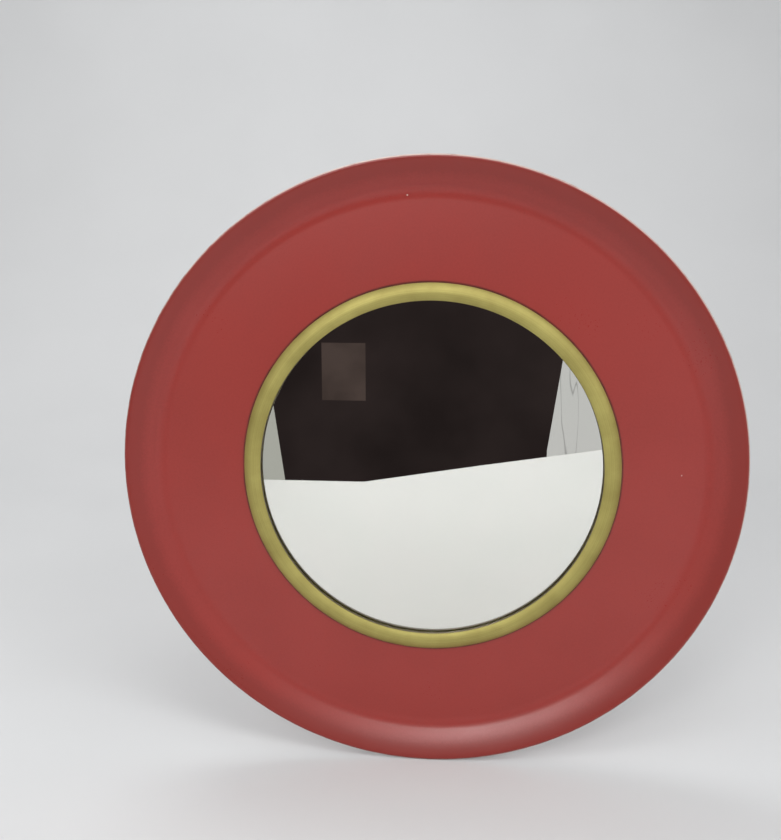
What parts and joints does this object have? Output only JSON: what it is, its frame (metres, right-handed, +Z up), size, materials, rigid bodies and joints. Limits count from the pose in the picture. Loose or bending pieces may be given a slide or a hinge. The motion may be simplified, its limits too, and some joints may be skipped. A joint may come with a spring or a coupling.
{
  "type": "round wall mirror",
  "caption": "Round wall mirror: wide dished red frame with a raised lip, gold half-round trim ring, flat glass, backing board held by turn buttons, and a plate hanger with a D ring.",
  "frame": {"origin": "on the disc's axis, halfway between the crest of the frame's lip and the faces of the wall pads", "axes": "-Y is the way the glass faces, +Y points into the wall, +Z is up when the mirror hangs, +X is to the right as seen from in front"},
  "size_m": [0.45, 0.0262, 0.45],
  "materials": {
    "red_lacquer": "satin red lacquer on turned fibreboard",
    "gold_lacquer": "satin metallic gold lacquer on a moulded ring",
    "mirror_glass": "polished float glass silvered on the back",
    "grey_card": "plain grey card",
    "hardboard": "pressed hardboard, bare",
    "zinc_steel": "bright zinc plate",
    "black_rubber": "matte black rubber"
  },
  "bodies": {
    "mirror": {"frame": "red_lacquer", "trim_ring": "gold_lacquer", "mirror_glass": "mirror_glass", "card_packing": "grey_card", "backing_board": "hardboard", "button_screw_1": "zinc_steel", "button_screw_2": "zinc_steel", "button_screw_3": "zinc_steel", "button_screw_4": "zinc_steel", "button_screw_5": "zinc_steel", "button_screw_6": "zinc_steel", "hanger_plate": "zinc_steel", "hanger_screw_1": "zinc_steel", "hanger_screw_2": "zinc_steel", "wall_pad_1": "black_rubber", "wall_pad_2": "black_rubber", "wall_pad_3": "black_rubber", "wall_pad_4": "black_rubber"},
    "turn_button_1": {"turn_button_1": "zinc_steel"},
    "turn_button_2": {"turn_button_2": "zinc_steel"},
    "turn_button_3": {"turn_button_3": "zinc_steel"},
    "turn_button_4": {"turn_button_4": "zinc_steel"},
    "turn_button_5": {"turn_button_5": "zinc_steel"},
    "turn_button_6": {"turn_button_6": "zinc_steel"},
    "hanger_ring": {"hanger_ring": "zinc_steel"}
  },
  "joints": [
    {"name": "turn_button_1_turn", "type": "hinge", "parent": "mirror", "child": "turn_button_1", "pos_m": [0.1365, 0.00773, 0], "axis": [0, 1, 0], "continuous": true},
    {"name": "turn_button_2_turn", "type": "hinge", "parent": "mirror", "child": "turn_button_2", "pos_m": [0.06825, 0.00773, 0.11821], "axis": [0, 1, 0], "continuous": true},
    {"name": "turn_button_3_turn", "type": "hinge", "parent": "mirror", "child": "turn_button_3", "pos_m": [-0.06825, 0.00773, 0.11821], "axis": [0, 1, 0], "continuous": true},
    {"name": "turn_button_4_turn", "type": "hinge", "parent": "mirror", "child": "turn_button_4", "pos_m": [-0.1365, 0.00773, 0], "axis": [0, 1, 0], "continuous": true},
    {"name": "turn_button_5_turn", "type": "hinge", "parent": "mirror", "child": "turn_button_5", "pos_m": [-0.06825, 0.00773, -0.11821], "axis": [0, 1, 0], "continuous": true},
    {"name": "turn_button_6_turn", "type": "hinge", "parent": "mirror", "child": "turn_button_6", "pos_m": [0.06825, 0.00773, -0.11821], "axis": [0, 1, 0], "continuous": true},
    {"name": "hanger_ring_swing", "type": "hinge", "parent": "mirror", "child": "hanger_ring", "pos_m": [0, 0.01013, 0.1848], "axis": [1, 0, 0], "range_deg": [0, 180]}
  ]
}
